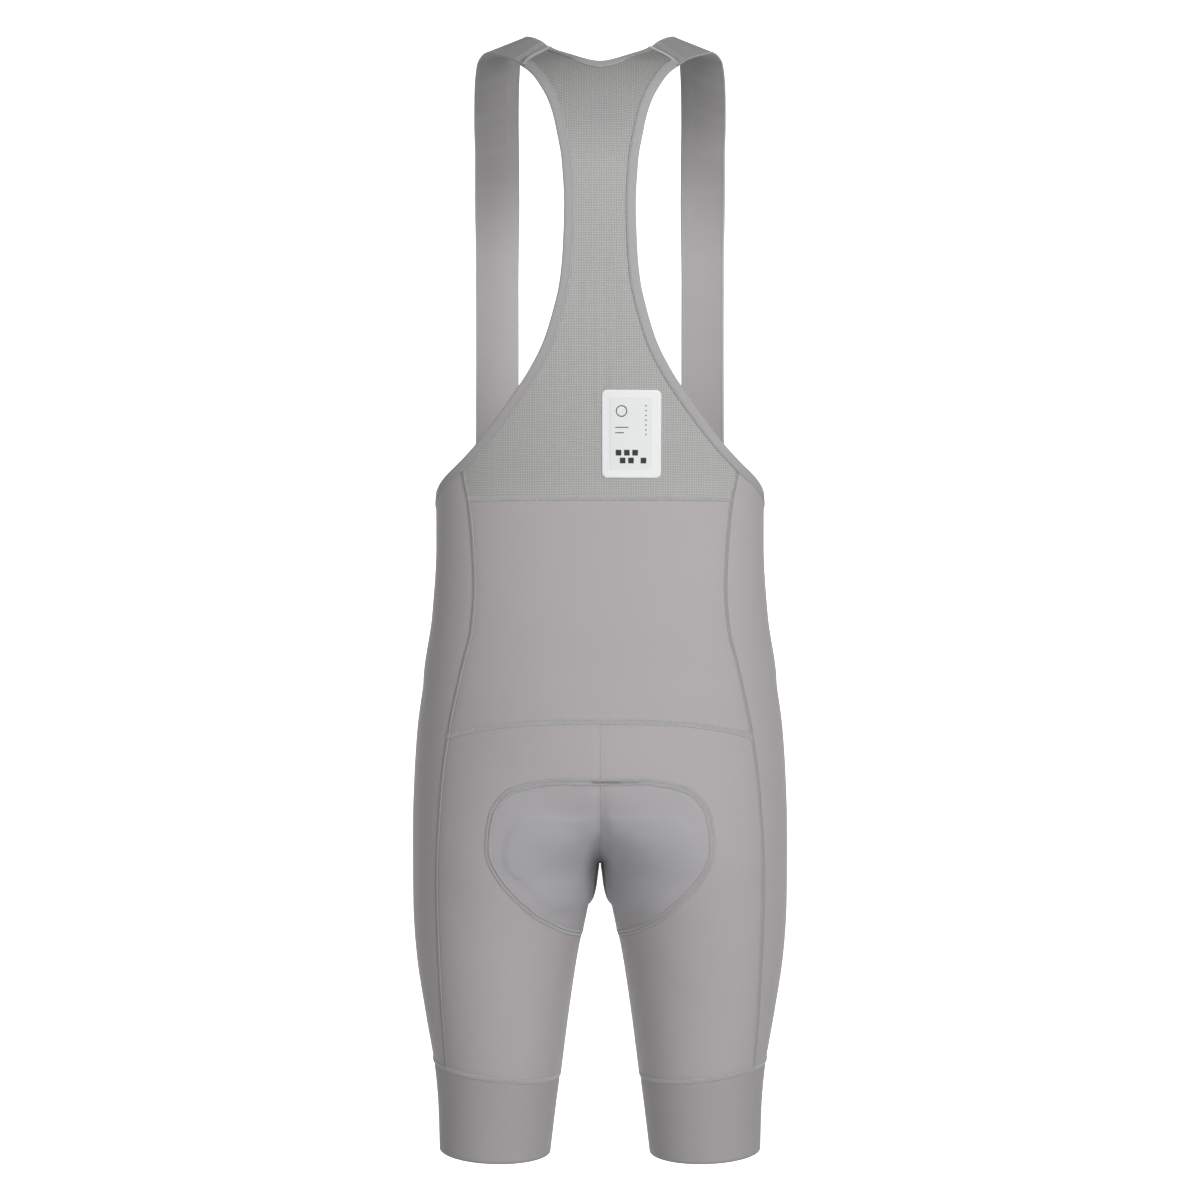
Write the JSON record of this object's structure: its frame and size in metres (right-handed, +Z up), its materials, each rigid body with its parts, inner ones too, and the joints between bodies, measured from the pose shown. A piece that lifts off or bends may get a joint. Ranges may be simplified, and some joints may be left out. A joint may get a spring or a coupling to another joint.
{
  "type": "cycling bib shorts",
  "caption": "Cycling bib shorts worn hollow: net racerback upper, elastic shoulder straps, panelled seat and legs, seat pad and raw-cut leg grippers.",
  "frame": {"origin": "between the shoulders, level with where the two straps rest on the wearer, in the garment's middle plane", "axes": "+Z up along the wearer's body, +X towards the wearer's left, +Y towards the wearer's back (the net back panel), so the garment faces -Y"},
  "size_m": [0.328, 0.228, 0.981],
  "materials": {
    "knit": "matte warp knit with a soft sheen, warm grey",
    "net": "open square net, light grey",
    "elastic": "woven elastic with fine ribs, grey",
    "binding": "folded stretch tape, grey",
    "gripper": "raw-cut ribbed elastic band, warm grey",
    "pad": "brushed microfibre over foam, bluish grey",
    "label": "smooth heat-transfer film, white"
  },
  "bodies": {
    "root": {"back_net_panel": "net", "lumbar_panel": "knit", "seat_panel_left": "knit", "seat_panel_right": "knit", "side_panel_left": "knit", "side_panel_right": "knit", "front_panel_left": "knit", "front_panel_right": "knit", "leg_gripper_left": "gripper", "leg_gripper_right": "gripper", "shoulder_strap_left": "elastic", "shoulder_strap_right": "elastic", "armhole_binding_left": "binding", "armhole_binding_right": "binding", "neck_binding": "binding", "front_binding": "binding", "chamois_pad": "pad", "label_patch": "label"}
  },
  "joints": []
}
